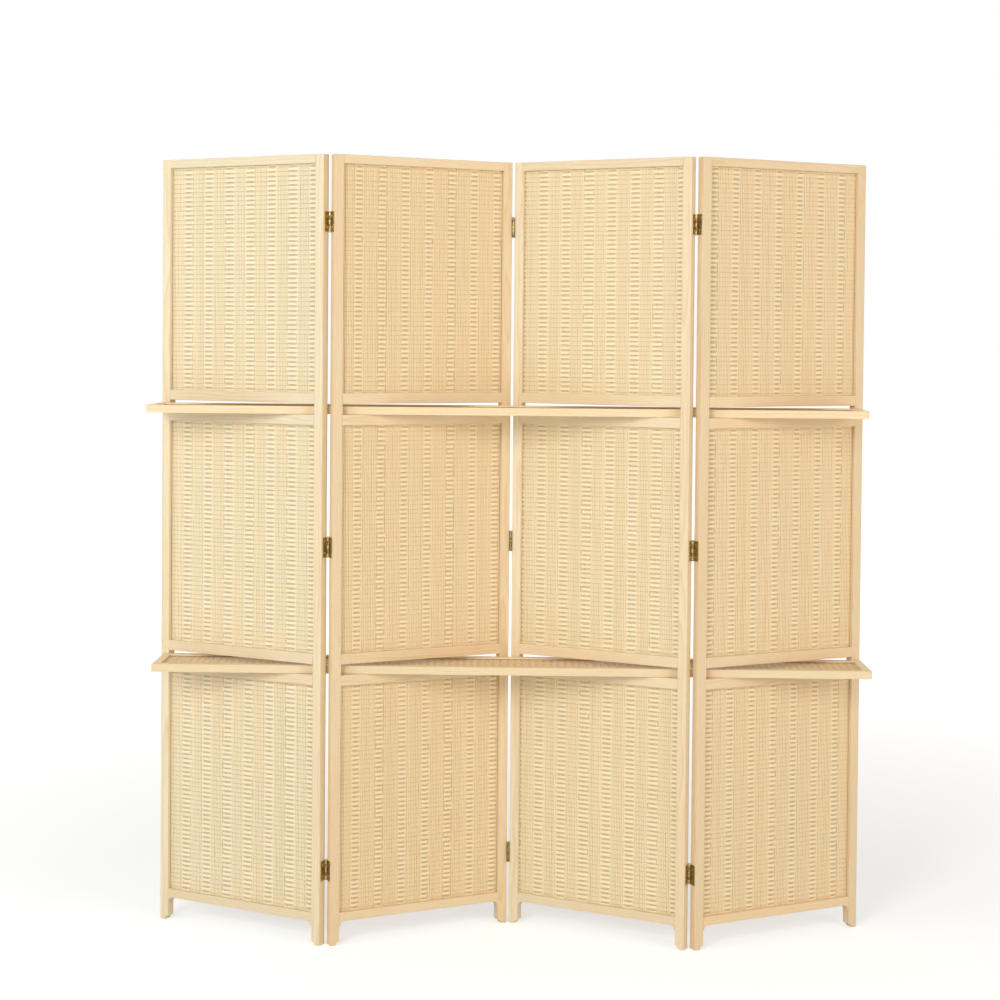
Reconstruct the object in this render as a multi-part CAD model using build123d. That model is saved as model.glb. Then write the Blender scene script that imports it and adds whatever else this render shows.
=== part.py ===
from build123d import *
import os
from functools import cache
from math import cos, radians, sin

# A folding screen of four framed panels with woven bamboo fields.
# Two long tray shelves lie in the slots of all four panels and hold the folds open.
# Lengths are in millimetres and angles in degrees.

# Panel frames
panel_count = 4
panel_width = 444
panel_thickness = 23
stile_width = 22
top_rail_height = 20
bottom_rail_height = 20
slot_rail_height = 24
field_height = 520
slot_height = 25
foot_height = 54
foot_corner_radius = 9
cove_radius = 10
cove_lip = 2
edge_round = 1

# Mortise and tenon joints of the frames
tenon_thickness = 9
tenon_length = 14
tenon_clearance = 0.1

# Woven mats in the frames
mat_thickness = 4
mat_groove_depth = 6
mat_clearance = 0.3

# Folds
fold_angle = 26
edge_gap = 3
axis_offset = 3.2

# Butt hinges
leaf_height = 46
leaf_width = 19
leaf_thickness = 1.3
knuckle_count = 5
knuckle_radius = 2.8
knuckle_gap = 0.3
pin_radius = 1.5
pin_clearance = 0.05
pin_head_radius = 2.4
pin_head_height = 1.2
pin_head_round = 0.4
low_hinge_above_floor = 170
high_hinge_below_top = 152

# Hinge screws
screws_per_leaf = 2
screw_spacing = 26
screw_length = 12
screw_radius = 1.25
screw_point_length = 3
screw_tip_radius = 0.3
screw_head_radius = 2.5
screw_clearance = 0.04
driver_slot_width = 0.6
driver_slot_depth = 0.5

# Tray shelves
tray_rail_width = 18
tray_rail_height = 18
tray_end_inset = 4
tray_side_play = 0.3
tray_lift = 0.3
lower_tray_shift = 4
upper_tray_shift = -10
tray_edge_round = 0.8

# Inside the trays
tray_mat_thickness = 3
tray_mat_recess = 4
tray_groove_depth = 5
end_tenon_length = 9
end_tenon_height = 6
end_tenon_rise = 2
end_tenon_thickness = 8
batten_count = 6
batten_width = 20
batten_height = 7
batten_tenon_length = 6

# How far a cutting shape runs past the face that it opens
overrun = 1

# Heights of the frame's members, worked out from the floor up
field_count = 3
slot_count = field_count - 1
band_height = 2 * slot_rail_height + slot_height
first_field_low = foot_height + bottom_rail_height
total_height = (
    first_field_low + field_count * field_height + slot_count * band_height + top_rail_height
)
field_lows = [first_field_low + i * (field_height + band_height) for i in range(field_count)]
slot_lows = [low + field_height + slot_rail_height for low in field_lows[:slot_count]]
opening_width = panel_width - 2 * stile_width

# Plan of the folds: every panel's centre lies on one line, between its two hinge axes
axis_across = panel_width / 2 + edge_gap / 2
axis_behind = panel_thickness / 2 + axis_offset
fold = radians(fold_angle)
half_spacing = axis_across * cos(fold) + axis_behind * sin(fold)

# The trays fill the slots from stile to stile, which is what stops the folds from opening flat
tray_depth = opening_width * sin(fold) - panel_thickness * cos(fold) - 2 * tray_side_play
outer_corner_reach = (
    (panel_count - 1) * half_spacing + panel_width / 2 * cos(fold) + panel_thickness / 2 * sin(fold)
)
tray_length = 2 * (outer_corner_reach - tray_end_inset)
tray_inner_width = tray_depth - 2 * tray_rail_width
leftmost = min(-outer_corner_reach, min(lower_tray_shift, upper_tray_shift) - tray_length / 2)
rightmost = max(outer_corner_reach, max(lower_tray_shift, upper_tray_shift) + tray_length / 2)
screen_shift = -(leftmost + rightmost) / 2


def block(x_range, y_range, z_range):
    """A plain block between the given lowest and highest coordinates."""
    size = [high - low for low, high in (x_range, y_range, z_range)]
    middle = [(high + low) / 2 for low, high in (x_range, y_range, z_range)]
    return Pos(*middle) * Box(*size)


def between(a, b):
    """The two coordinates in rising order."""
    return (min(a, b), max(a, b))


def eased(solid, axis, radius):
    """The solid with the edges of its two end faces along an axis rounded."""
    faces = solid.faces().sort_by(axis)
    return fillet(faces[0].edges() + faces[-1].edges(), radius)


def save(name, solids):
    """Write one node from its separate solids."""
    shape = solids[0] if len(solids) == 1 else Compound(children=list(solids))
    export_step(shape, os.path.join("parts", name + ".step"))


# The frames. In a panel's own frame x runs across it, y from its front to its back, z up


def stile_blank(side):
    """A stile with its foot: the bottom corner under the panel is rounded, the outer one square."""
    outer = side * panel_width / 2
    inner = side * (panel_width / 2 - stile_width)
    corner = inner + side * foot_corner_radius
    with BuildPart() as stile:
        with BuildSketch(Plane.XZ.offset(-panel_thickness / 2)):
            with BuildLine():
                Line((corner, 0), (outer, 0))
                Line((outer, 0), (outer, total_height))
                Line((outer, total_height), (inner, total_height))
                Line((inner, total_height), (inner, foot_corner_radius))
                RadiusArc((inner, foot_corner_radius), (corner, 0), side * foot_corner_radius)
            make_face()
        extrude(amount=panel_thickness)
    return eased(stile.part, Axis.Y, edge_round)


def mat_groove(x_range, z_range):
    """The groove that holds a mat, as a cutting block at mid thickness."""
    half = mat_thickness / 2 + mat_clearance
    return block(x_range, (-half, half), z_range)


def mortise(side, rail_low, rail_height):
    """The mortise for a rail's tenon in the stile on one side."""
    inner = panel_width / 2 - stile_width
    half = tenon_thickness / 2 + tenon_clearance
    x_range = between(side * inner, side * (inner + tenon_length + tenon_clearance))
    z_range = (
        rail_low + mat_groove_depth - tenon_clearance,
        rail_low + rail_height - mat_groove_depth + tenon_clearance,
    )
    return block(x_range, (-half, half), z_range)


def rail_levels():
    """The lower edge and height of every rail of a panel, from the floor up."""
    levels = [(foot_height, bottom_rail_height)]
    for slot_low in slot_lows:
        levels.append((slot_low - slot_rail_height, slot_rail_height))
        levels.append((slot_low + slot_height, slot_rail_height))
    levels.append((total_height - top_rail_height, top_rail_height))
    return levels


@cache
def stile(side, hinge_back):
    """A finished stile. hinge_back is 1 or -1 for an axis behind or before it, 0 for no hinge."""
    inner = panel_width / 2 - stile_width
    x_range = between(side * (inner - overrun), side * (inner + mat_groove_depth))
    cuts = [mortise(side, rail_low, rail_height) for rail_low, rail_height in rail_levels()]
    for low in field_lows:
        z_range = (low - mat_groove_depth, low + field_height + mat_groove_depth)
        cuts.append(mat_groove(x_range, z_range))
    if hinge_back:
        cuts += [place * screw_shape(screw_clearance) for place in screw_places(side, hinge_back)]
    return stile_blank(side) - cuts


def tenons(rail_low, rail_height):
    """The two tenons of a rail as one bar through it."""
    reach = opening_width / 2 + tenon_length
    half = tenon_thickness / 2
    z_range = (rail_low + mat_groove_depth, rail_low + rail_height - mat_groove_depth)
    return block((-reach, reach), (-half, half), z_range)


@cache
def rail(rail_low, rail_height, groove_side):
    """A straight rail with tenons. The groove for a mat is in its lower (-1) or upper (1) edge."""
    half = opening_width / 2
    with BuildPart() as bar:
        with BuildSketch(Plane.YZ):
            with Locations((0, rail_low + rail_height / 2)):
                RectangleRounded(panel_thickness, rail_height, edge_round)
        extrude(amount=half, both=True)
    edge = rail_low if groove_side < 0 else rail_low + rail_height
    z_range = between(edge + groove_side * overrun, edge - groove_side * mat_groove_depth)
    groove = mat_groove((-half - overrun, half + overrun), z_range)
    return bar.part + tenons(rail_low, rail_height) - groove


@cache
def bottom_rail():
    """The bottom rail, with a small cove at each end where it meets the feet."""
    half = opening_width / 2
    low = foot_height
    high = foot_height + bottom_rail_height
    tip = half - cove_lip
    start = tip - cove_radius
    with BuildPart() as bar:
        with BuildSketch(Plane.XZ.offset(-panel_thickness / 2)):
            with BuildLine():
                Line((-start, low), (start, low))
                RadiusArc((start, low), (tip, low - cove_radius), cove_radius)
                Line((tip, low - cove_radius), (half, low - cove_radius))
                Line((half, low - cove_radius), (half, high))
                Line((half, high), (-half, high))
                Line((-half, high), (-half, low - cove_radius))
                Line((-half, low - cove_radius), (-tip, low - cove_radius))
                RadiusArc((-tip, low - cove_radius), (-start, low), cove_radius)
            make_face()
        extrude(amount=panel_thickness)
    long_edges = bar.part.edges().filter_by(Axis.X).filter_by(lambda edge: edge.length > start)
    solid = fillet(long_edges, edge_round) + tenons(low, bottom_rail_height)
    groove = mat_groove((-half - overrun, half + overrun), (high - mat_groove_depth, high + overrun))
    return solid - groove


@cache
def mat(low):
    """The plain sheet of a woven mat, with its edges in the grooves."""
    tuck = mat_groove_depth - mat_clearance
    reach = opening_width / 2 + tuck
    half = mat_thickness / 2
    return block((-reach, reach), (-half, half), (low - tuck, low + field_height + tuck))


# Hinges. In a fold's own frame the pin is the z axis


def hinge_heights():
    """Centre heights of the three hinges of a fold."""
    low = low_hinge_above_floor
    high = total_height - high_hinge_below_top
    return [low, (low + high) / 2, high]


def knuckle_range(index):
    """Lowest and highest z of one knuckle, about the hinge's middle."""
    pitch = (leaf_height + knuckle_gap) / knuckle_count
    low = -leaf_height / 2 + index * pitch
    return (low, low + pitch - knuckle_gap)


def screw_heights():
    """Heights of a leaf's screws about the hinge's middle."""
    first = -screw_spacing * (screws_per_leaf - 1) / 2
    return [first + i * screw_spacing for i in range(screws_per_leaf)]


@cache
def leaf(side, back, first_knuckle):
    """One leaf with every other knuckle. side is where its stile lies, back where the pin lies."""
    x_range = between(side * (edge_gap / 2 - leaf_thickness), side * edge_gap / 2)
    root = -back * axis_offset
    half = leaf_height / 2
    plate = block(x_range, between(root, root - back * leaf_width), (-half, half))
    knuckles = []
    for index in range(first_knuckle, knuckle_count, 2):
        low, high = knuckle_range(index)
        knuckles.append(block(x_range, between(root, 0), (low, high)))
        knuckles.append(Pos(0, 0, (low + high) / 2) * Cylinder(knuckle_radius, high - low))
    cuts = [place * screw_shape(screw_clearance) for place in leaf_screw_places(side, back)]
    cuts.append(Cylinder(pin_radius + pin_clearance, leaf_height + 2 * overrun))
    return plate + knuckles - cuts


@cache
def hinge_pin():
    """A pin with a flat head at each end of the barrel."""
    head = Cylinder(pin_head_radius, pin_head_height)
    head = fillet(head.edges(), pin_head_round)
    lift = leaf_height / 2 + pin_head_height / 2
    return Cylinder(pin_radius, leaf_height) + Pos(0, 0, lift) * head + Pos(0, 0, -lift) * head


@cache
def screw_shape(clearance):
    """A countersunk screw pointing down from z = 0, grown by a clearance."""
    head = screw_head_radius + clearance
    shank = screw_radius + clearance
    cone = screw_head_radius - screw_radius
    straight = screw_length - cone - screw_point_length
    solid = Pos(0, 0, -cone / 2) * Cone(shank, head, cone)
    solid += Pos(0, 0, -cone - straight / 2) * Cylinder(shank, straight)
    point = screw_point_length + clearance
    return solid + Pos(0, 0, -cone - straight - point / 2) * Cone(screw_tip_radius, shank, point)


@cache
def screw():
    """A screw with a driver slot across its head."""
    half = driver_slot_width / 2
    reach = screw_head_radius + overrun
    slot = block((-reach, reach), (-half, half), (-driver_slot_depth, overrun))
    return screw_shape(0) - slot


def leaf_screw_places(side, back):
    """Where a leaf's screws start, in the fold's own frame."""
    x = side * (edge_gap / 2 - leaf_thickness)
    y = -back * (axis_offset + leaf_width / 2)
    return [Pos(x, y, z) * Rot(0, -90 * side, 0) for z in screw_heights()]


def screw_places(side, back):
    """Where the screws of a stile's three leaves start, in the panel's own frame."""
    places = []
    for height in hinge_heights():
        pin = Pos(side * axis_across, back * axis_behind, height)
        places += [pin * place for place in leaf_screw_places(-side, back)]
    return places


# Trays. In a tray's own frame x runs along it, y from front to back, z up from its underside


def tray_floor():
    """The height of the tray mat's top, above the tray's underside."""
    return tray_rail_height - tray_mat_recess


def tray_groove():
    """The groove for a tray's mat, along the inner sides of its four rails."""
    depth = tray_groove_depth
    reach = tray_length / 2 - tray_rail_width + depth
    across = tray_inner_width / 2 + depth
    top = tray_floor() + mat_clearance
    low = tray_floor() - tray_mat_thickness - mat_clearance
    return block((-reach, reach), (-across, across), (low, top))


def tray_bar(length):
    """A bar of the tray's stock along x, with its long edges eased."""
    with BuildPart() as bar:
        with BuildSketch(Plane.YZ):
            with Locations((0, tray_rail_height / 2)):
                RectangleRounded(tray_rail_width, tray_rail_height, tray_edge_round)
        extrude(amount=length / 2, both=True)
    return bar.part


def end_rail_centre():
    """Distance of an end rail's middle from the tray's middle."""
    return tray_length / 2 - tray_rail_width / 2


def end_tenons(grown):
    """The tenon bar of an end rail, through its length, grown for the mortises."""
    half = end_tenon_thickness / 2 + grown
    reach = tray_inner_width / 2 + end_tenon_length + grown
    low = end_tenon_rise - grown
    high = end_tenon_rise + end_tenon_height + grown
    return block((-half, half), (-reach, reach), (low, high))


def batten_centres():
    """Places of the cross battens along a tray."""
    pitch = (tray_length - 2 * tray_rail_width) / (batten_count + 1)
    first = -pitch * (batten_count - 1) / 2
    return [first + i * pitch for i in range(batten_count)]


def batten_bar(length, grown):
    """A batten under the mat, across the tray, grown for the mortises."""
    half = batten_width / 2 + grown
    top = tray_floor() - tray_mat_thickness
    return block((-half, half), (-length / 2, length / 2), (top - batten_height - grown, top + grown))


def batten_reach():
    """Length of a batten from the end of one tenon to the other."""
    return tray_inner_width + 2 * batten_tenon_length


@cache
def tray_long_rail(back):
    """The front (-1) or back (1) rail, grooved and mortised."""
    bar = Pos(0, back * (tray_inner_width + tray_rail_width) / 2, 0) * tray_bar(tray_length)
    reach = batten_reach() + 2 * tenon_clearance
    cuts = [tray_groove()]
    cuts += [Pos(end * end_rail_centre(), 0, 0) * end_tenons(tenon_clearance) for end in (-1, 1)]
    cuts += [Pos(x, 0, 0) * batten_bar(reach, tenon_clearance) for x in batten_centres()]
    return bar - cuts


@cache
def tray_end_rails():
    """The two short rails between the long ones."""
    solids = []
    for end in (-1, 1):
        bar = Rot(0, 0, 90) * tray_bar(tray_inner_width) + end_tenons(0)
        solids.append(Pos(end * end_rail_centre(), 0, 0) * bar - tray_groove())
    return solids


@cache
def tray_mat():
    """The plain sheet of a tray's mat, with its edges in the groove."""
    tuck = tray_groove_depth - mat_clearance
    reach = tray_length / 2 - tray_rail_width + tuck
    across = tray_inner_width / 2 + tuck
    top = tray_floor()
    return block((-reach, reach), (-across, across), (top - tray_mat_thickness, top))


@cache
def tray_battens():
    """The cross battens that carry the mat."""
    return [Pos(x, 0, 0) * batten_bar(batten_reach(), 0) for x in batten_centres()]


# Assembly


def panel_place(number):
    """Where panel 1, 2, 3 or 4 stands: odd ones turn their right end to the front."""
    x = screen_shift + (2 * number - panel_count - 1) * half_spacing
    turn = -fold_angle if number % 2 else fold_angle
    return Pos(x, 0, 0) * Rot(0, 0, turn)


def pin_back(fold_number):
    """1 where the pin of a fold is behind the panels, -1 where it is before them."""
    return 1 if fold_number % 2 else -1


def save_panel(number):
    """The frame, mats and hinge screws of one panel."""
    place = panel_place(number)
    backs = {
        -1: pin_back(number - 1) if number > 1 else 0,
        1: pin_back(number) if number < panel_count else 0,
    }
    name = f"panel_{number}_"
    save(name + "left_stile", [place * stile(-1, backs[-1])])
    save(name + "right_stile", [place * stile(1, backs[1])])
    save(name + "top_rail", [place * rail(total_height - top_rail_height, top_rail_height, -1)])
    save(name + "bottom_rail", [place * bottom_rail()])
    for slot_name, slot_low in zip(("lower", "upper"), slot_lows):
        under = rail(slot_low - slot_rail_height, slot_rail_height, -1)
        over = rail(slot_low + slot_height, slot_rail_height, 1)
        save(name + slot_name + "_slot_rails", [place * under, place * over])
    for field_name, low in zip(("lower", "middle", "upper"), field_lows):
        save(name + field_name + "_mat", [place * mat(low)])
    screws = []
    for side, back in backs.items():
        if back:
            screws += [place * spot * screw() for spot in screw_places(side, back)]
    save(name + "hinge_screws", screws)


def save_fold(number):
    """The three hinges between one panel and the next."""
    back = pin_back(number)
    for side, word, first in ((-1, "left", 0), (1, "right", 1)):
        panel = number if side < 0 else number + 1
        place = panel_place(panel)
        solids = []
        pins = []
        for height in hinge_heights():
            pin = place * Pos(-side * axis_across, back * axis_behind, height)
            solids.append(pin * leaf(side, back, first))
            pins.append(pin * hinge_pin())
        save(f"fold_{number}_{word}_leaves", solids)
        if side < 0:
            save(f"fold_{number}_hinge_pins", pins)


def save_tray(name, slot_low, shift):
    """One tray shelf, lying in the slots."""
    place = Pos(screen_shift + shift, 0, slot_low + tray_lift)
    save(name + "_front_rail", [place * tray_long_rail(-1)])
    save(name + "_back_rail", [place * tray_long_rail(1)])
    save(name + "_end_rails", [place * solid for solid in tray_end_rails()])
    save(name + "_mat", [place * tray_mat()])
    save(name + "_battens", [place * solid for solid in tray_battens()])


os.makedirs("parts", exist_ok=True)
for panel_number in range(1, panel_count + 1):
    save_panel(panel_number)
for fold_number in range(1, panel_count):
    save_fold(fold_number)
save_tray("lower_tray", slot_lows[0], lower_tray_shift)
save_tray("upper_tray", slot_lows[1], upper_tray_shift)
print("height", total_height, "tray length", round(tray_length, 2), "tray depth", round(tray_depth, 2))
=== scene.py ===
import math

import bpy
import numpy as np
from mathutils import Matrix, Vector


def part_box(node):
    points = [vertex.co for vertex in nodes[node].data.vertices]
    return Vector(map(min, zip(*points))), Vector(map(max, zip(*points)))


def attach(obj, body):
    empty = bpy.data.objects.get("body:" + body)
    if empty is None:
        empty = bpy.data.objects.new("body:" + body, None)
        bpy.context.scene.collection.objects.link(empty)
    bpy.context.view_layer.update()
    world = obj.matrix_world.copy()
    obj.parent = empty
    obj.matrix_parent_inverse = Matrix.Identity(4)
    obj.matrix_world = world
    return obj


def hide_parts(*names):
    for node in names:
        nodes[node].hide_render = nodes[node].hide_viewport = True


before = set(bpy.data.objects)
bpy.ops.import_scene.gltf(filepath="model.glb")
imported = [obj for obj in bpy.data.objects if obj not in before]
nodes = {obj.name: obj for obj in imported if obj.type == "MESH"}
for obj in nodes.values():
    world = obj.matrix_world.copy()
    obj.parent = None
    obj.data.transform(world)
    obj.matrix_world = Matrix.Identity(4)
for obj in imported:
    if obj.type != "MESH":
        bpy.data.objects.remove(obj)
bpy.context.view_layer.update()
scene = bpy.context.scene
tau = 2 * math.pi

# Helpers for shader trees

def addNode(tree, kind, sockets=None, **settings):
    # one node, with its own settings and its inputs filled by values or links
    node = tree.nodes.new(kind)
    for name, value in settings.items():
        setattr(node, name, value)
    for key, value in (sockets or {}).items():
        if isinstance(value, bpy.types.NodeSocket):
            tree.links.new(value, node.inputs[key])
        else:
            node.inputs[key].default_value = value
    return node


def maths(tree, operation, *values):
    sockets = dict(enumerate(values))
    return addNode(tree, "ShaderNodeMath", sockets, operation=operation).outputs[0]


def vectorMaths(tree, operation, *values):
    sockets = dict(enumerate(values))
    return addNode(tree, "ShaderNodeVectorMath", sockets, operation=operation).outputs[0]


def mixColour(tree, factor, first, second, blend="MIX"):
    sockets = {0: factor, 6: first, 7: second}
    return addNode(tree, "ShaderNodeMix", sockets, data_type="RGBA", blend_type=blend).outputs[2]


def remap(tree, value, low, high, newLow=0.0, newHigh=1.0):
    # straight line from low..high to newLow..newHigh, held at both ends
    sockets = {0: value, 1: low, 2: high, 3: newLow, 4: newHigh}
    return addNode(tree, "ShaderNodeMapRange", sockets).outputs[0]


def noise(tree, vector, scale, detail=2.0, roughness=0.5):
    sockets = {"Vector": vector, "Scale": scale, "Detail": detail, "Roughness": roughness}
    return addNode(tree, "ShaderNodeTexNoise", sockets).outputs["Fac"]


def rgba(colour):
    return (*map(float, colour), 1.0)


def newGroup(name, inputs, outputs):
    # a shader group with named sockets; returns its tree, its inputs and its output node
    tree = bpy.data.node_groups.new(name, "ShaderNodeTree")
    for label, (kind, value) in inputs.items():
        socket = tree.interface.new_socket(label, in_out="INPUT", socket_type="NodeSocket" + kind)
        if value is not None:
            socket.default_value = value
    for label, kind in outputs.items():
        tree.interface.new_socket(label, in_out="OUTPUT", socket_type="NodeSocket" + kind)
    return tree, tree.nodes.new("NodeGroupInput").outputs, tree.nodes.new("NodeGroupOutput")


def newMaterial(name, colour):
    # an empty material with its surface shader; colour is what a plain view shows
    material = bpy.data.materials.new(name)
    material.use_nodes = True
    material.diffuse_color = rgba(colour)
    return material, material.node_tree, material.node_tree.nodes["Principled BSDF"]


def useGroup(tree, group, sockets):
    node = tree.nodes.new("ShaderNodeGroup")
    node.node_tree = group
    for key, value in sockets.items():
        if isinstance(value, bpy.types.NodeSocket):
            tree.links.new(value, node.inputs[key])
        else:
            node.inputs[key].default_value = value
    return node.outputs


# Pine grain, for a vector whose Z runs along the board

def makeGrainGroup():
    # rings: distance from a pith beside the board, bent by slow noise, folded into one
    # late-wood line per ring; fibres: noise drawn out 60 times along the board
    tree, given, out = newGroup("boardGrain", {
        "Vector": ("Vector", None),
        "Seed": ("Float", 0.0),
        "Pith": ("Vector", (0.05, 0.02, 0.0)),
        "Ring Spacing": ("Float", 0.0045),
        "Pale": ("Color", (0.9, 0.77, 0.55, 1)),
        "Late": ("Color", (0.8, 0.58, 0.32, 1)),
        "Flush": ("Color", (0.9, 0.7, 0.48, 1)),
    }, {"Color": "Color", "Roughness": "Float", "Height": "Float"})
    shift = addNode(tree, "ShaderNodeCombineXYZ", {2: given["Seed"]}).outputs[0]
    board = vectorMaths(tree, "ADD", given["Vector"], shift)
    slow = vectorMaths(tree, "MULTIPLY", board, (1.0, 1.0, 0.16))
    bend = addNode(tree, "ShaderNodeTexNoise", {"Vector": slow, "Scale": 14.0, "Detail": 2.0})
    sway = vectorMaths(tree, "SUBTRACT", bend.outputs["Color"], (0.5, 0.5, 0.5))
    sway = vectorMaths(tree, "MULTIPLY", sway, (0.022, 0.022, 0.0))
    across = vectorMaths(tree, "MULTIPLY", board, (1.0, 1.0, 0.0))
    across = vectorMaths(tree, "ADD", across, sway)
    across = vectorMaths(tree, "ADD", across, given["Pith"])
    radius = addNode(tree, "ShaderNodeVectorMath", {0: across}, operation="LENGTH").outputs["Value"]
    ring = maths(tree, "FRACT", maths(tree, "DIVIDE", radius, given["Ring Spacing"]))
    rise = maths(tree, "POWER", ring, 2.6)
    late = maths(tree, "MULTIPLY", rise, remap(tree, ring, 0.9, 1.0, 1.0, 0.0))
    fineVector = vectorMaths(tree, "MULTIPLY", board, (1.0, 1.0, 0.017))
    fibre = noise(tree, fineVector, 1500.0, 3.0, 0.62)
    streak = noise(tree, fineVector, 380.0, 2.0, 0.5)
    tone = noise(tree, slow, 9.0, 3.0, 0.6)
    colour = mixColour(tree, remap(tree, tone, 0.35, 0.72), given["Pale"], given["Flush"])
    lateShare = maths(tree, "MULTIPLY", late, remap(tree, streak, 0.25, 0.75, 0.35, 0.95))
    colour = mixColour(tree, lateShare, colour, given["Late"])
    dark = remap(tree, fibre, 0.3, 0.62, 0.9, 1.03)
    grey = addNode(tree, "ShaderNodeCombineColor", {0: dark, 1: dark, 2: dark}).outputs[0]
    colour = mixColour(tree, 1.0, colour, grey, "MULTIPLY")
    height = maths(tree, "ADD", maths(tree, "MULTIPLY", fibre, 0.6), maths(tree, "MULTIPLY", late, 0.5))
    tree.links.new(colour, out.inputs["Color"])
    tree.links.new(remap(tree, fibre, 0.3, 0.7, 0.5, 0.38), out.inputs["Roughness"])
    tree.links.new(height, out.inputs["Height"])
    return tree


def makeEdgeGroup():
    # 1 where a rounded-off normal differs from the true one: edges and the corners of holes
    tree, given, out = newGroup("edgeWearAndHighlight", {
        "Radius": ("Float", 0.001),
        "Sharpness": ("Float", 3.0),
    }, {"Mask": "Float", "Normal": "Vector"})
    soft = addNode(tree, "ShaderNodeBevel", {"Radius": given["Radius"]}, samples=6).outputs[0]
    true = addNode(tree, "ShaderNodeNewGeometry").outputs["Normal"]
    match = addNode(tree, "ShaderNodeVectorMath", {0: soft, 1: true}, operation="DOT_PRODUCT")
    gap = maths(tree, "SUBTRACT", 1.0, match.outputs["Value"])
    mask = addNode(tree, "ShaderNodeMath", {0: gap, 1: given["Sharpness"]}, operation="MULTIPLY")
    mask.use_clamp = True
    tree.links.new(mask.outputs[0], out.inputs["Mask"])
    tree.links.new(soft, out.inputs["Normal"])
    return tree


def makeFibreGroup():
    # split bamboo, from the strand attribute (metres along, -1..1 across, one number per
    # strand): a tone for each strand, streaks along it, painted shade on its sides and a joint every 0.3 m
    tree, given, out = newGroup("splitBamboo", {
        "Strand": ("Vector", None),
        "Pale": ("Color", (0.86, 0.76, 0.5, 1)),
        "Deep": ("Color", (0.76, 0.6, 0.34, 1)),
        "Side": ("Color", (0.5, 0.36, 0.17, 1)),
        "Joint Spacing": ("Float", 0.31),
    }, {"Color": "Color", "Roughness": "Float", "Height": "Float"})
    parts = addNode(tree, "ShaderNodeSeparateXYZ", {0: given["Strand"]}).outputs
    along, across, number = parts[0], parts[1], parts[2]
    chance = addNode(tree, "ShaderNodeTexWhiteNoise", {"W": number}, noise_dimensions="1D")
    own = chance.outputs["Value"]
    offset = maths(tree, "MULTIPLY", number, 37.0)
    coarse = addNode(tree, "ShaderNodeCombineXYZ", {
        0: maths(tree, "MULTIPLY", along, 9.0), 1: across, 2: offset}).outputs[0]
    fine = addNode(tree, "ShaderNodeCombineXYZ", {
        0: maths(tree, "MULTIPLY", along, 30.0),
        1: maths(tree, "MULTIPLY", across, 7.0),
        2: offset,
    }).outputs[0]
    patch = noise(tree, coarse, 1.0, 3.0, 0.6)
    streak = noise(tree, fine, 1.0, 3.0, 0.65)
    share = maths(tree, "ADD", maths(tree, "MULTIPLY", own, 0.55), maths(tree, "MULTIPLY", patch, 0.6))
    share = maths(tree, "ADD", share, remap(tree, streak, 0.3, 0.7, -0.3, 0.3))
    colour = mixColour(tree, remap(tree, share, 0.25, 1.15), given["Pale"], given["Deep"])
    where = maths(tree, "DIVIDE", along, given["Joint Spacing"])
    where = maths(tree, "ADD", where, maths(tree, "MULTIPLY", own, 5.0))
    joint = remap(tree, maths(tree, "PINGPONG", where, 0.5), 0.0, 0.006, 1.0, 0.0)
    # the sides, where one strand meets the next, get painted shade; the joints are the cane's own marks
    side = maths(tree, "POWER", maths(tree, "ABSOLUTE", across), 6.0)
    dark = maths(tree, "MAXIMUM", maths(tree, "MULTIPLY", side, 0.5), maths(tree, "MULTIPLY", joint, 0.45))
    colour = mixColour(tree, dark, colour, given["Side"])
    height = maths(tree, "ADD", maths(tree, "MULTIPLY", streak, 0.7), maths(tree, "MULTIPLY", joint, 0.8))
    tree.links.new(colour, out.inputs["Color"])
    tree.links.new(remap(tree, streak, 0.3, 0.7, 0.62, 0.44), out.inputs["Roughness"])
    tree.links.new(height, out.inputs["Height"])
    return tree


grainGroup = makeGrainGroup()
edgeGroup = makeEdgeGroup()
fibreGroup = makeFibreGroup()
print("shader groups made")

# Places read from the frame

def corners(name):
    # the node's different points, in metres
    mesh = nodes[name].data
    points = np.empty(len(mesh.vertices) * 3, np.float32)
    mesh.vertices.foreach_get("co", points)
    return np.unique(points.reshape(-1, 3).round(6), axis=0).astype(float)


def slabPlace(name):
    # a flat slab's own axes: run is the level one nearest to X, depth its thin one,
    # rise the one left; rows of the matrix are run, depth, rise
    points = corners(name)
    centre = (points.min(0) + points.max(0)) / 2
    axes = np.linalg.svd(points - centre, full_matrices=False)[2]
    extents = np.ptp((points - centre) @ axes.T, axis=0)
    run = axes[np.argmax(np.abs(axes[:, 0]))]
    run = run * np.sign(run[0])
    thin = axes[np.argmin(extents)]
    rise = np.cross(run, thin)
    rise = rise * np.sign(rise.sum())
    axes = np.array([run, np.cross(rise, run), rise])
    return centre, axes, np.ptp((points - centre) @ axes.T, axis=0)


panelNumbers = (1, 2, 3, 4)
levels = ("lower", "middle", "upper")
panelRun = {n: slabPlace(f"panel_{n}_middle_mat")[1][0] for n in panelNumbers}

# Pine pieces of the panels and of the trays

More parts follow.
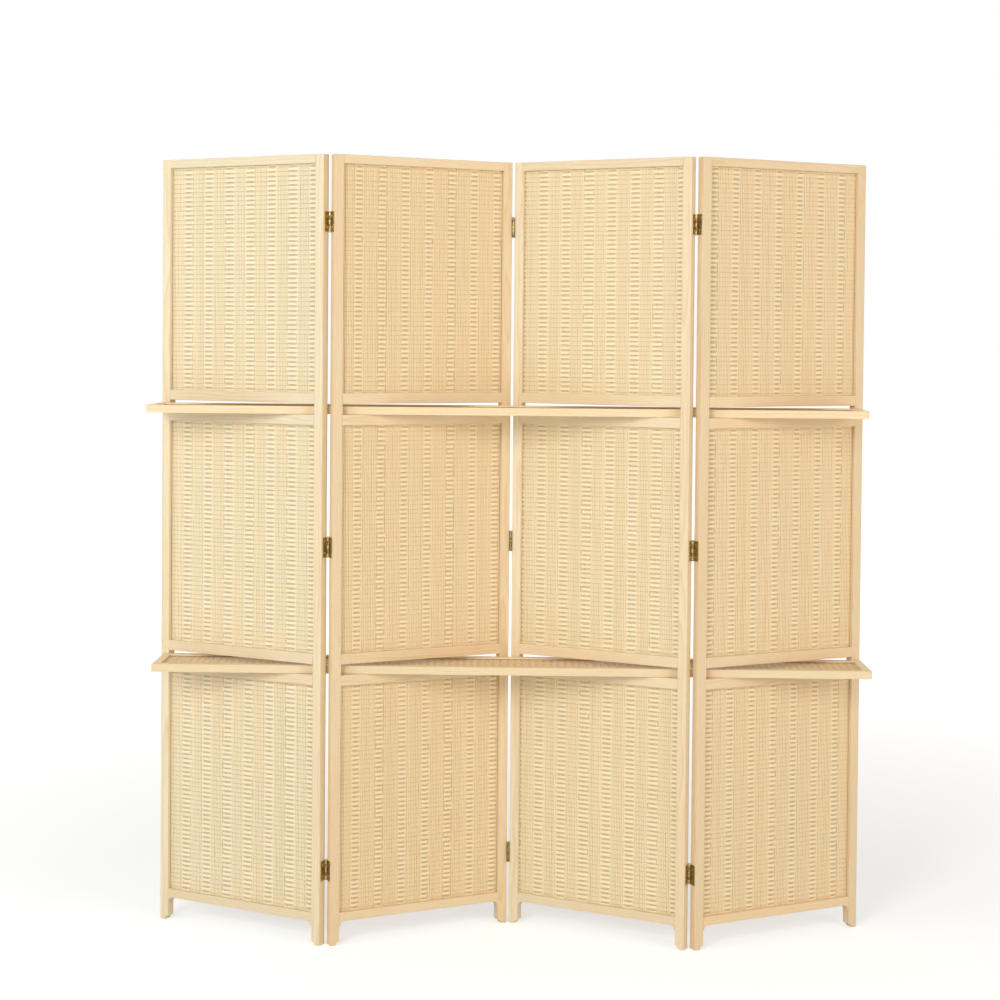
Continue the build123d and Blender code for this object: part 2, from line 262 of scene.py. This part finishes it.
pine = {
    "pale": (0.91, 0.77, 0.53),
    "late": (0.8, 0.55, 0.3),
    "flush": (0.88, 0.7, 0.44),
    "ringSpacing": 0.0042,
    "ringScatter": (0.75, 1.35),    # times the spacing, one share per piece
    "pithDistance": (0.02, 0.09),   # how far beside the piece its rings are centred
    "wornEdgeAndHighlight": (0.99, 0.9, 0.7),
    "wearAndHighlightShare": 0.35,
    "edgeRadius": 0.0012,
    "edgeSharpness": 2.2,
    "toneSpread": 0.025,
    # panels 2 and 4, which face right, are darker and warmer, and panels 1 and 3 cooler: painted shade and
    # painted light for the sides turned from and towards the key lamp; the trays' tints are their own tone
    "toneAndShade": {
        "panel_1": (0.96, 1.0, 1.04),
        "panel_2": (0.98, 0.94, 0.9),
        "panel_3": (0.99, 1.0, 1.02),
        "panel_4": (0.99, 0.94, 0.9),
        "lower_tray": (1.0, 0.98, 0.95),
        "upper_tray": (1.08, 1.06, 1.02),
    },
    "bump": 0.3,
    "bumpDepth": 0.0004,
    "shine": 0.4,
    "seed": 11,
}


def pineMaterial(name, centre, direction, chance):
    # the grain is centred on the piece, and its Z is turned along the piece
    material, tree, shader = newMaterial(name, pine["pale"])
    where = addNode(tree, "ShaderNodeTexCoord").outputs["Object"]
    turn = Vector(direction).to_track_quat("Z", "Y").to_euler()
    board = addNode(tree, "ShaderNodeMapping", {
        "Vector": where, "Location": centre, "Rotation": turn}, vector_type="TEXTURE").outputs[0]
    angle, far = chance.uniform(0, tau), chance.uniform(*pine["pithDistance"])
    tone = 1 + chance.normal(0, pine["toneSpread"])
    warm = 1 + chance.normal(0, pine["toneSpread"] / 2)
    # each piece takes its panel's tint, with the painted shade or painted light of that panel's side
    toneAndShade = next(toneAndShade for start, toneAndShade in pine["toneAndShade"].items() if name.startswith(start))
    shade = np.array([tone, tone * warm, tone * warm * warm]) * toneAndShade
    grain = useGroup(tree, grainGroup, {
        "Vector": board,
        "Seed": chance.uniform(0, 40),
        "Pith": (far * math.cos(angle), far * math.sin(angle), 0),
        "Ring Spacing": pine["ringSpacing"] * chance.uniform(*pine["ringScatter"]),
        "Pale": rgba(np.minimum(pine["pale"] * shade, 0.98)),
        "Late": rgba(pine["late"] * shade),
        "Flush": rgba(np.minimum(pine["flush"] * shade, 0.98)),
    })
    edge = useGroup(tree, edgeGroup, {
        "Radius": pine["edgeRadius"], "Sharpness": pine["edgeSharpness"]})
    # the rounded edges are mixed towards a paler colour: partly wear, partly painted highlight along the
    # edges
    share = maths(tree, "MULTIPLY", edge["Mask"], pine["wearAndHighlightShare"])
    colour = mixColour(tree, share, grain["Color"], rgba(pine["wornEdgeAndHighlight"]))
    tree.links.new(colour, shader.inputs["Base Color"])
    tree.links.new(grain["Roughness"], shader.inputs["Roughness"])
    bump = addNode(tree, "ShaderNodeBump", {
        "Height": grain["Height"],
        "Normal": edge["Normal"],
        "Strength": pine["bump"],
        "Distance": pine["bumpDepth"],
    })
    tree.links.new(bump.outputs[0], shader.inputs["Normal"])
    shader.inputs["Specular IOR Level"].default_value = pine["shine"]
    return material


def dress(name, material):
    # the CAD node keeps its mesh and takes the material
    node = nodes[name]
    node.data.materials.clear()
    node.data.materials.append(material)


upright, sideways, inwards = (0, 0, 1), (1, 0, 0), (0, 1, 0)
chance = np.random.default_rng(pine["seed"])
pieces = []
for number in panelNumbers:
    along = tuple(panelRun[number])
    pieces += [(f"panel_{number}_{piece}", direction) for piece, direction in (
        ("left_stile", upright), ("right_stile", upright), ("top_rail", along),
        ("bottom_rail", along), ("lower_slot_rails", along), ("upper_slot_rails", along))]
for level in ("lower", "upper"):
    pieces += [(f"{level}_tray_{piece}", direction) for piece, direction in (
        ("front_rail", sideways), ("back_rail", sideways), ("end_rails", inwards), ("battens", inwards))]
for name, direction in pieces:
    low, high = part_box(name)
    dress(name, pineMaterial(name + "_pine", (low + high) / 2, direction, chance))
print("pine pieces:", len(pieces))

# Woven bamboo mats

weave = {
    "margin": 0.0006,           # what the weave stays inside the mat's own box
    "knotPitch": 0.0578,        # from one column of knots to the next
    "rowPitch": 0.01055,        # from one strip to the one above
    "stripThickness": 0.0011,
    "stripHeight": (0.0073, 0.0101),  # at a knot, between knots
    "narrowing": 1.5,           # above 1 a strip narrows only close to its knots
    "rise": 0.0011,             # how far a strip leaves the middle at a knot
    "stickRise": 0.00085,       # the sticks give way by this much
    "squareness": 2.4,          # how flat the strip lies between its knots
    "knotShift": 0.3,           # above 0 the knots are shorter than the spaces
    "stripRoundness": 0.85,     # 1 is an oval strand, towards 0 it gets flat sides
    "stickRoundness": 0.55,
    "stepsPerKnot": 14,
    "sidesOfStrip": 8,
    "sidesOfStick": 8,
    "sidesOfThread": 5,
    "threadRadius": 0.00042,
    "stickPitch": 0.0042,
    "stickSize": (0.00402, 0.0009),
    "stickStep": 0.06,          # from ring to ring along a stick
    "endRing": 0.001,           # a ring this far from each end of a stick keeps its soft shading short
    "looseness": 1.0,           # times all the scatter and drift below
    "knotScatter": 0.0011,
    "threadScatter": 0.0006,
    "heightScatter": 0.03,      # a share of the strip's height
    "riseScatter": 0.06,        # a share of the strip's rise
    "stripDrift": 0.0005,
    "threadDrift": 0.0004,
    "driftLength": (0.09, 0.3),
    "stickDrift": 0.00009,
    "stickDepthScatter": 0.00008,
    "stickWidthScatter": 0.02,  # a share of the stick's width
    "seed": 5,
}
trayWeave = dict(weave, knotPitch=0.0168, rowPitch=0.0085, stripHeight=(0.0062, 0.0078), rise=0.0006,
                 stickRise=0.0003, knotShift=0.1, stepsPerKnot=6, stripThickness=0.0009,
                 stickSize=(0.0041, 0.0007), threadRadius=0.0003, sidesOfStrip=6)
firstKnot = {1: 0.0447, 2: 0.0405, 3: 0.0485, 4: 0.0145}  # from the field's left edge, one per panel
panelWeave = {n: dict(weave, knotShift=0.3 if n in (1, 3) else 0.58) for n in panelNumbers}
tuck = {"panel": 0.0057, "tray": 0.004}  # from a mat's edge to where its knots are counted from
numbersFrom = {"strip": 0, "thread": 1000, "stick": 3000}  # each kind of strand is numbered from here

stripLook = {"pale": (0.98, 0.89, 0.65), "deep": (0.92, 0.78, 0.52), "side": (0.6, 0.44, 0.22)}
stickLook = {"pale": (0.95, 0.83, 0.58), "deep": (0.89, 0.74, 0.48), "side": (0.74, 0.58, 0.34)}
# the sticks behind the knots get a darker look: painted shade for the gaps between the knots, where they
# show
hiddenStickShadeLook = {"pale": (0.8, 0.66, 0.42), "deep": (0.72, 0.58, 0.35), "side": (0.5, 0.38, 0.2)}
# the threads are dark partly by their own tone and partly as painted shade of the gaps between the rows
threadShadeLook = {"pale": (0.62, 0.5, 0.29), "deep": (0.52, 0.4, 0.22), "side": (0.4, 0.3, 0.15)}
bamboo = {"bump": 0.25, "bumpDepth": 0.0003, "shine": 0.35}
# panels 2 and 4, which face right, get darker, warmer bamboo and paler threads: painted shade for the side
# turned from the key lamp, and fainter painted shade between the rows there; the trays' bamboo is rosier
bambooToneAndShade = {
    "panel_1": {"toneAndShade": (1.0, 0.99, 0.975), "threadShadeTone": 1.0},
    "panel_2": {"toneAndShade": (1.0, 0.92, 0.83), "threadShadeTone": 1.3},
    "panel_3": {"toneAndShade": (1.0, 0.965, 0.91), "threadShadeTone": 1.05},
    "panel_4": {"toneAndShade": (1.0, 0.93, 0.86), "threadShadeTone": 1.3},
    "tray": {"toneAndShade": (0.95, 0.85, 0.78), "threadShadeTone": 1.0},
}


def bambooMaterial(name, look, toneAndShade):
    shades = {part: rgba(np.multiply(colour, toneAndShade)) for part, colour in look.items()}
    material, tree, shader = newMaterial(name, shades["pale"][:3])
    strand = addNode(tree, "ShaderNodeAttribute", attribute_name="strand").outputs["Vector"]
    fibre = useGroup(tree, fibreGroup, {
        "Strand": strand,
        "Pale": shades["pale"],
        "Deep": shades["deep"],
        "Side": shades["side"],
    })
    tree.links.new(fibre["Color"], shader.inputs["Base Color"])
    tree.links.new(fibre["Roughness"], shader.inputs["Roughness"])
    bump = addNode(tree, "ShaderNodeBump", {
        "Height": fibre["Height"], "Strength": bamboo["bump"], "Distance": bamboo["bumpDepth"]})
    tree.links.new(bump.outputs[0], shader.inputs["Normal"])
    shader.inputs["Specular IOR Level"].default_value = bamboo["shine"]
    return material


def bambooSet(bundle):
    toneAndShade = np.array(bambooToneAndShade[bundle]["toneAndShade"])
    # the threads' painted shade between the rows is lighter on the right-facing panels
    threadToneAndShade = toneAndShade * bambooToneAndShade[bundle]["threadShadeTone"]
    return [bambooMaterial(f"{bundle}_{part}", look, shade) for part, look, shade in (
        ("strip", stripLook, toneAndShade), ("stick", stickLook, toneAndShade), ("thread", threadShadeLook, threadToneAndShade),
        ("hiddenStickShade", hiddenStickShadeLook, toneAndShade))]


def strands(centres, alongAxis, acrossAxis, halfWidth, halfThickness, sides, roundness, firstNumber):
    # closed tubes, one per row of centres (rows, steps, 3), all in the mat's own axes:
    # centre + c * halfWidth * acrossAxis + s * halfThickness * depthAxis, where c and s are
    # the cosine and the sine of an angle that goes once round, both raised to the power
    # roundness; depthAxis is alongAxis x acrossAxis, so that every face looks outwards
    rows, steps = centres.shape[:2]
    angle = np.arange(sides) * tau / sides + tau / sides / 2
    c, s = (np.sign(turn) * np.abs(turn) ** roundness for turn in (np.cos(angle), np.sin(angle)))
    depthAxis = np.cross(alongAxis, acrossAxis)
    points = (centres[:, :, None, :]
              + (halfWidth[:, :, None] * c)[..., None] * acrossAxis
              + (halfThickness[:, :, None] * s)[..., None] * depthAxis)
    run = np.linalg.norm(np.diff(centres, axis=1), axis=2).cumsum(1)
    run = np.concatenate([np.zeros((rows, 1)), run], 1)
    number = firstNumber + np.arange(rows)
    strand = np.stack(np.broadcast_arrays(
        run[:, :, None], c[None, None, :], (number * 0.618 % 1.0)[:, None, None]), -1)
    index = np.arange(rows * steps * sides).reshape(rows, steps, sides)
    here, there = index[:, :-1], index[:, 1:]
    quads = np.stack([here, np.roll(here, -1, 2), np.roll(there, -1, 2), there], -1).reshape(-1, 4)
    caps = np.concatenate([index[:, 0, ::-1], index[:, -1, :]])
    return points.reshape(-1, 3), strand.reshape(-1, 3), quads, caps


def addMesh(name, parts, place, materials):
    # joins strands into one mesh; a part is (points, strand, quads, caps, material index)
    centre, axes, _ = place
    points, strand, loops, starts, slots = [], [], [], [], []
    base = start = 0
    for partPoints, partStrand, quads, caps, slot in parts:
        points.append(partPoints)
        strand.append(partStrand)
        for faces in (quads, caps):
            loops.append((faces + base).ravel())
            starts.append(start + np.arange(len(faces)) * faces.shape[1])
            slots.append(np.full(len(faces), slot))
            start += faces.size
        base += len(partPoints)
    points = np.concatenate(points) @ axes + centre
    loops, starts, slots = np.concatenate(loops), np.concatenate(starts), np.concatenate(slots)
    mesh = bpy.data.meshes.new(name)
    mesh.vertices.add(len(points))
    mesh.vertices.foreach_set("co", points.astype(np.float32).ravel())
    mesh.loops.add(len(loops))
    mesh.loops.foreach_set("vertex_index", loops.astype(np.int32))
    mesh.polygons.add(len(starts))
    mesh.polygons.foreach_set("loop_start", starts.astype(np.int32))
    mesh.polygons.foreach_set("material_index", slots.astype(np.int32))
    mesh.update(calc_edges=True)
    attribute = mesh.attributes.new("strand", "FLOAT_VECTOR", "POINT")
    attribute.data.foreach_set("vector", np.concatenate(strand).astype(np.float32).ravel())
    mesh.polygons.foreach_set("use_smooth", np.ones(len(starts), bool))
    for material in materials:
        mesh.materials.append(material)
    if mesh.validate():
        print("repaired", name)
    piece = bpy.data.objects.new(name, mesh)
    scene.collection.objects.link(piece)
    return piece


def makeWeave(name, matNode, body, knotFromEdge, edgeTuck, cut, materials):
    # strips: depth = -rise * f, f = tanh(squareness * (cos(2 pi s / pitch) - shift)) scaled
    # to 1 at a knot; a strip narrows at its knots; sticks and threads go the other way
    place = slabPlace(matNode)
    width, _, height = place[2]
    chance = np.random.default_rng(cut["seed"] + sum(map(ord, name)))
    margin, loose = cut["margin"], cut["looseness"]
    start = -width / 2 + margin
    steps = int(round((width - 2 * margin) / cut["knotPitch"] * cut["stepsPerKnot"])) + 1
    along = np.linspace(start, -start, steps)
    rows = int((height - 2 * margin) / cut["rowPitch"])
    rowPitch = (height - 2 * margin) / rows
    rowCentre = (np.arange(rows) + 0.5) * rowPitch - height / 2 + margin
    knotAt = -width / 2 + edgeTuck + knotFromEdge

    def wave(where):
        level = np.cos((where - knotAt) / cut["knotPitch"] * tau) - cut["knotShift"]
        top = math.tanh(cut["squareness"] * (1 - cut["knotShift"]))
        return np.tanh(cut["squareness"] * level) / top

    def wander(count, size):
        # slow drift along each strand: two sines with a strand's own phases
        phases = chance.uniform(0, tau, (2, count, 1))
        lengths = chance.uniform(*cut["driftLength"], (2, count, 1))
        return size * loose * np.sin(along * tau / lengths + phases).sum(0) / 2

    def spread(size, count):
        return chance.normal(0, size * loose, (count, 1))

    def line(rise, level):
        # centres of one strand per row; rise is the depth, level the height
        return np.stack(np.broadcast_arrays(along, rise, level), -1)

    upAxis, runAxis = np.array([0.0, 0.0, 1.0]), np.array([1.0, 0.0, 0.0])
    f = wave(along + spread(cut["knotScatter"], rows))
    knotHeight, spaceHeight = cut["stripHeight"]
    knotShare = np.clip((1 + f) / 2, 0, 1) ** cut["narrowing"]
    tall = spaceHeight + (knotHeight - spaceHeight) * knotShare
    tall = tall * (1 + spread(cut["heightScatter"], rows))
    thick = np.full_like(tall, cut["stripThickness"])
    depth = -cut["rise"] * (1 + spread(cut["riseScatter"], rows)) * f
    centres = line(depth, rowCentre[:, None] + wander(rows, cut["stripDrift"]))
    strips = strands(centres, runAxis, upAxis, tall / 2, thick / 2, cut["sidesOfStrip"],
                     cut["stripRoundness"], numbersFrom["strip"])

    g = wave(along + spread(cut["threadScatter"], rows - 1))
    between = (rowCentre[:-1] + rowCentre[1:])[:, None] / 2
    over = cut["stickRise"] + cut["stickSize"][1] / 2 + cut["threadRadius"] / 2
    centres = line(over * g, between + wander(rows - 1, cut["threadDrift"]))[:, ::2]
    thread = np.full(centres.shape[:2], cut["threadRadius"])
    threads = strands(centres, runAxis, upAxis, thread, thread, cut["sidesOfThread"], 1,
                      numbersFrom["thread"])

    sticks = int((width - 2 * margin) / cut["stickPitch"])
    stickWidth, stickThickness = cut["stickSize"]
    rest = ((np.arange(sticks) + 0.5) / sticks - 0.5) * (width - 2 * margin)
    top, ring = height / 2 - margin, cut["endRing"]
    climb = np.linspace(ring - top, top - ring, max(2, int(height / cut["stickStep"]) + 1))
    climb = np.concatenate([[-top], climb, [top]])
    drift = chance.normal(0, cut["stickDrift"] * loose, (sticks, len(climb)))
    scatter = chance.normal(0, cut["stickDepthScatter"] * loose, drift.shape)
    depth = cut["stickRise"] * wave(rest)[:, None] + scatter
    centres = np.stack(np.broadcast_arrays(rest[:, None] + drift, depth, climb), -1)
    wide = np.full(drift.shape, stickWidth / 2) * (1 + spread(cut["stickWidthScatter"], sticks))
    slim = np.full(drift.shape, stickThickness / 2)
    # the sticks that lie behind the knots take the darker look, painted shade for the dark gaps beside the
    # knots
    behind = wave(rest) > 0
    crossing = []
    for which, slot in ((~behind, 1), (behind, 3)):
        tubes = strands(centres[which], upAxis, runAxis, wide[which], slim[which],
                        cut["sidesOfStick"], cut["stickRoundness"], numbersFrom["stick"])
        crossing.append((*tubes, slot))

    parts = [(*strips, 0), *crossing, (*threads, 2)]
    piece = addMesh(name, parts, place, materials)
    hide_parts(matNode)
    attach(piece, body)
    return piece


triangles = 0
for number in panelNumbers:
    materials = bambooSet(f"panel_{number}")
    for level in levels:
        piece = makeWeave(f"panel_{number}_{level}_weave", f"panel_{number}_{level}_mat",
                          f"panel_{number}", firstKnot[number], tuck["panel"],
                          panelWeave[number], materials)
        triangles += 2 * len(piece.data.polygons)
materials = bambooSet("tray")
for level in ("lower", "upper"):
    piece = makeWeave(f"{level}_tray_weave", f"{level}_tray_mat", f"{level}_tray", 0.0,
                      tuck["tray"], trayWeave, materials)
    triangles += 2 * len(piece.data.polygons)
print("woven mats done, about", triangles, "triangles")

# Brass hinges and screws

brass = {
    "bright": (0.86, 0.68, 0.34),
    "dull": (0.17, 0.12, 0.05),
    "roughness": (0.22, 0.5),
    "patchSize": 160.0,
    "scratchSize": 2600.0,
    "edgeRadius": 0.0005,
    "edgeSharpness": 3.5,
    "bump": 0.2,
    "bumpDepth": 0.0001,
    # the left leaves are brighter and the right leaves duller: painted highlight and painted shade on one
    # brass
    "dullShare": {"screw": 0.5, "pin": 0.55, "litLeftLeaf": 0.3, "shadedRightLeaf": 0.75, "farLeaf": 0.8},
}


def brassMaterial(name, dullShare):
    # dull patches by noise, rubbed bright on the edges, with fine upright scratches
    material, tree, shader = newMaterial(name, brass["bright"])
    where = addNode(tree, "ShaderNodeTexCoord").outputs["Object"]
    patch = noise(tree, where, brass["patchSize"], 4.0, 0.65)
    drawn = vectorMaths(tree, "MULTIPLY", where, (1.0, 1.0, 0.06))
    scratch = noise(tree, drawn, brass["scratchSize"], 2.0, 0.5)
    edge = useGroup(tree, edgeGroup, {
        "Radius": brass["edgeRadius"], "Sharpness": brass["edgeSharpness"]})
    dull = remap(tree, patch, 0.3, 0.65, dullShare - 0.35, dullShare + 0.3)
    dull = maths(tree, "SUBTRACT", dull, edge["Mask"])
    dull = maths(tree, "MAXIMUM", dull, 0.0)
    colour = mixColour(tree, dull, rgba(brass["bright"]), rgba(brass["dull"]))
    tree.links.new(colour, shader.inputs["Base Color"])
    low, high = brass["roughness"]
    tree.links.new(remap(tree, dull, 0.0, 1.0, low, high), shader.inputs["Roughness"])
    bump = addNode(tree, "ShaderNodeBump", {
        "Height": scratch,
        "Normal": edge["Normal"],
        "Strength": brass["bump"],
        "Distance": brass["bumpDepth"],
    })
    tree.links.new(bump.outputs[0], shader.inputs["Normal"])
    shader.inputs["Metallic"].default_value = 1.0
    return material


brasses = {part: brassMaterial(part + "Brass", share) for part, share in brass["dullShare"].items()}
for number in panelNumbers:
    dress(f"panel_{number}_hinge_screws", brasses["screw"])
for fold in (1, 2, 3):
    # the leaves and pins of the middle fold are duller than the others
    # the left leaves take the painted highlight, the right leaves the painted shade
    parts = {"left_leaves": "litLeftLeaf", "right_leaves": "shadedRightLeaf", "hinge_pins": "pin"}
    for piece, part in parts.items():
        dress(f"fold_{fold}_{piece}", brasses["farLeaf" if fold == 2 else part])
print("brass done")

# Floor, light and camera

studio = {
    "floorHalf": 30.0,
    "floorColour": (0.83, 0.86, 0.89),
    "speckleColour": (0.7, 0.7, 0.7),
    "floorGlow": (0.42, 0.7),   # near the screen, far from it
    "glowReach": (1.2, 4.0),
    "worldStrength": 0.46,
    "worldColour": (1.0, 0.95, 0.88),
    "lampAim": (0, 0, 0.9),
}
lamps = {
    "key": {"from": (-2.3, -4.9, 3.0), "size": 1.9, "power": 107, "colour": (0.97, 0.99, 1.0)},
    "window": {"from": (-5.0, -2.4, 2.0), "size": 3.2, "power": 56, "colour": (0.97, 0.99, 1.0)},
    "fill": {"from": (3.8, -3.4, 1.4), "size": 3.0, "power": 70, "colour": (1.0, 0.9, 0.78)},
}


def seenDirectly(tree):
    # 1 for camera, glossy and transmission rays
    rays = addNode(tree, "ShaderNodeLightPath").outputs
    seen = maths(tree, "MAXIMUM", rays["Is Camera Ray"], rays["Is Glossy Ray"])
    return maths(tree, "MAXIMUM", seen, rays["Is Transmission Ray"])


def makeFloor():
    half = studio["floorHalf"]
    rim = [(-half, -half, 0), (half, -half, 0), (half, half, 0), (-half, half, 0)]
    mesh = bpy.data.meshes.new("floor")
    mesh.from_pydata(rim, [], [(0, 1, 2, 3)])
    floor = bpy.data.objects.new("floor", mesh)
    scene.collection.objects.link(floor)
    material, tree, shader = newMaterial("floorPaper", studio["floorColour"])
    where = addNode(tree, "ShaderNodeTexCoord").outputs["Object"]
    speckle = noise(tree, where, 900.0, 2.0)
    share = remap(tree, speckle, 0.3, 0.7, 0.0, 0.05)
    base = mixColour(tree, share, rgba(studio["floorColour"]), rgba(studio["speckleColour"]))
    tree.links.new(base, shader.inputs["Base Color"])
    shader.inputs["Roughness"].default_value = 0.9
    shader.inputs["Specular IOR Level"].default_value = 0.1
    # the glow grows with the distance from the screen, so that the paper stays white
    far = addNode(tree, "ShaderNodeVectorMath", {0: where}, operation="LENGTH").outputs["Value"]
    glow = remap(tree, far, *studio["glowReach"], *studio["floorGlow"])
    glow = maths(tree, "MULTIPLY", seenDirectly(tree), glow)
    shader.inputs["Emission Color"].default_value = (1, 1, 1, 1)
    tree.links.new(glow, shader.inputs["Emission Strength"])
    mesh.materials.append(material)


def makeWorld():
    world = bpy.data.worlds.new("studio")
    scene.world = world
    world.use_nodes = True
    tree = world.node_tree
    background = tree.nodes["Background"]
    seen = seenDirectly(tree)
    colour = mixColour(tree, seen, rgba(studio["worldColour"]), (1, 1, 1, 1))
    tree.links.new(colour, background.inputs["Color"])
    strength = remap(tree, seen, 0.0, 1.0, studio["worldStrength"], 1.0)
    tree.links.new(strength, background.inputs["Strength"])


def addLamp(name, settings):
    data = bpy.data.lights.new(name, "AREA")
    data.size = settings["size"]
    data.energy = settings["power"]
    data.color = settings["colour"]
    lamp = bpy.data.objects.new(name, data)
    scene.collection.objects.link(lamp)
    lamp.location = settings["from"]
    towards = Vector(studio["lampAim"]) - lamp.location
    lamp.rotation_euler = towards.to_track_quat("-Z", "Y").to_euler()


view = {
    "place": (0.02508, -4.44915, 1.39467),
    "down": 1.513, "right": -0.638, "lean": 0.491,   # degrees
    "focal": 1924.3,            # in pixels of a picture 1000 wide
    "axisRow": 385.96,          # the row that the lens points at
    "pixels": 1000,
    "sensor": 36.0,
}


def addCamera():
    # a level camera looks along Y; it turns about Z, tips down, then leans about its own axis
    data = bpy.data.cameras.new("camera")
    data.sensor_width = view["sensor"]
    data.lens = view["focal"] / view["pixels"] * view["sensor"]
    data.shift_y = (view["axisRow"] - view["pixels"] / 2) / view["pixels"]
    camera = bpy.data.objects.new("camera", data)
    scene.collection.objects.link(camera)
    turn = Matrix.Rotation(-math.radians(view["right"]), 4, "Z")
    tip = Matrix.Rotation(math.radians(90 - view["down"]), 4, "X")
    lean = Matrix.Rotation(math.radians(view["lean"]), 4, "Z")
    camera.matrix_world = Matrix.Translation(view["place"]) @ turn @ tip @ lean
    scene.camera = camera


makeFloor()
makeWorld()
for name, settings in lamps.items():
    addLamp(name, settings)
addCamera()
scene.view_settings.view_transform = "Standard"
print("studio ready")
